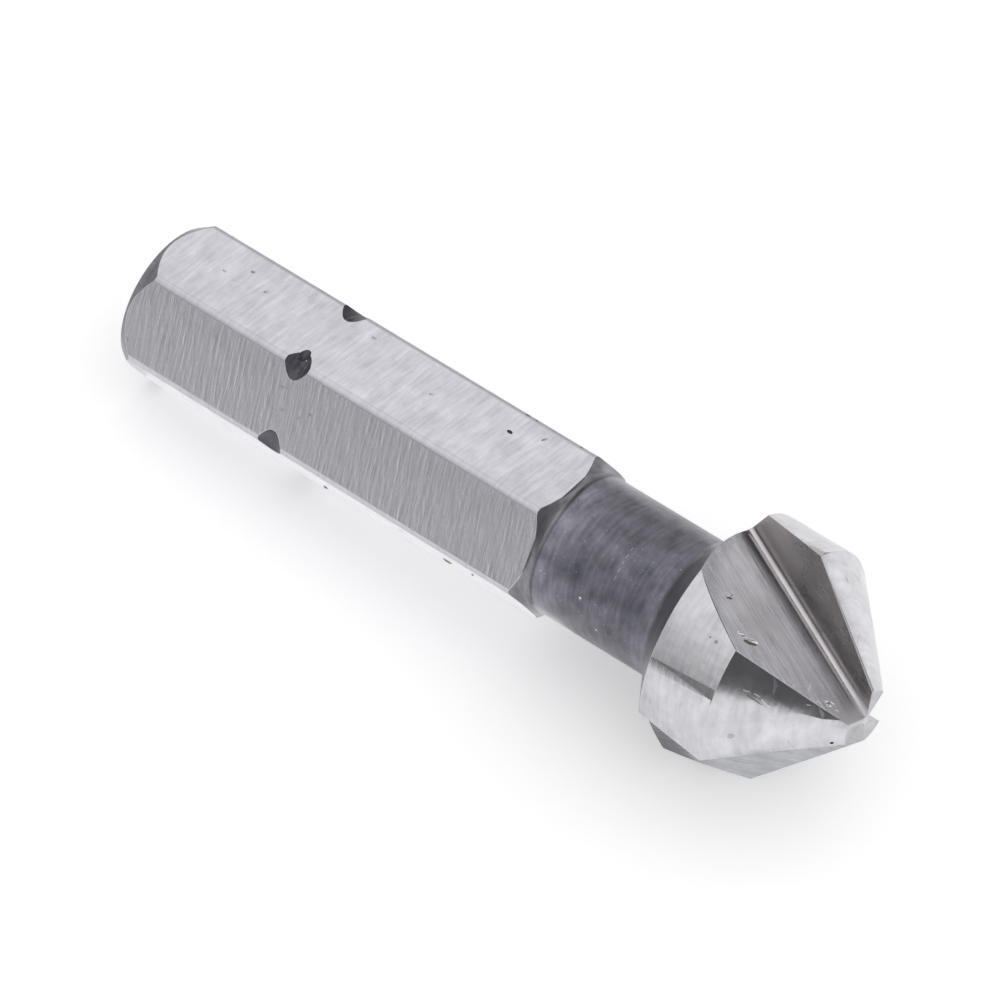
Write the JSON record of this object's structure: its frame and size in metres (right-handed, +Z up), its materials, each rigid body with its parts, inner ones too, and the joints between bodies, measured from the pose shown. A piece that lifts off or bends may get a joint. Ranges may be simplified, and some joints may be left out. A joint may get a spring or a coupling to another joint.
{
  "type": "countersink bit",
  "caption": "Countersink bit with relieved cutting lands and straight V flutes on a ninety degree cone, turned neck and notched hexagon shank.",
  "frame": {"origin": "centre of the footprint, on the surface that the bit lies on", "axes": "+X from the shank end towards the cutting tip, +Z up, away from the surface; the bit's own axis rises 3.7 degrees towards the tip"},
  "size_m": [0.0348, 0.0102, 0.0101],
  "materials": {
    "tool_steel": "ground and turned bare tool steel"
  },
  "bodies": {
    "root": {"countersink_bit": "tool_steel"}
  },
  "joints": []
}
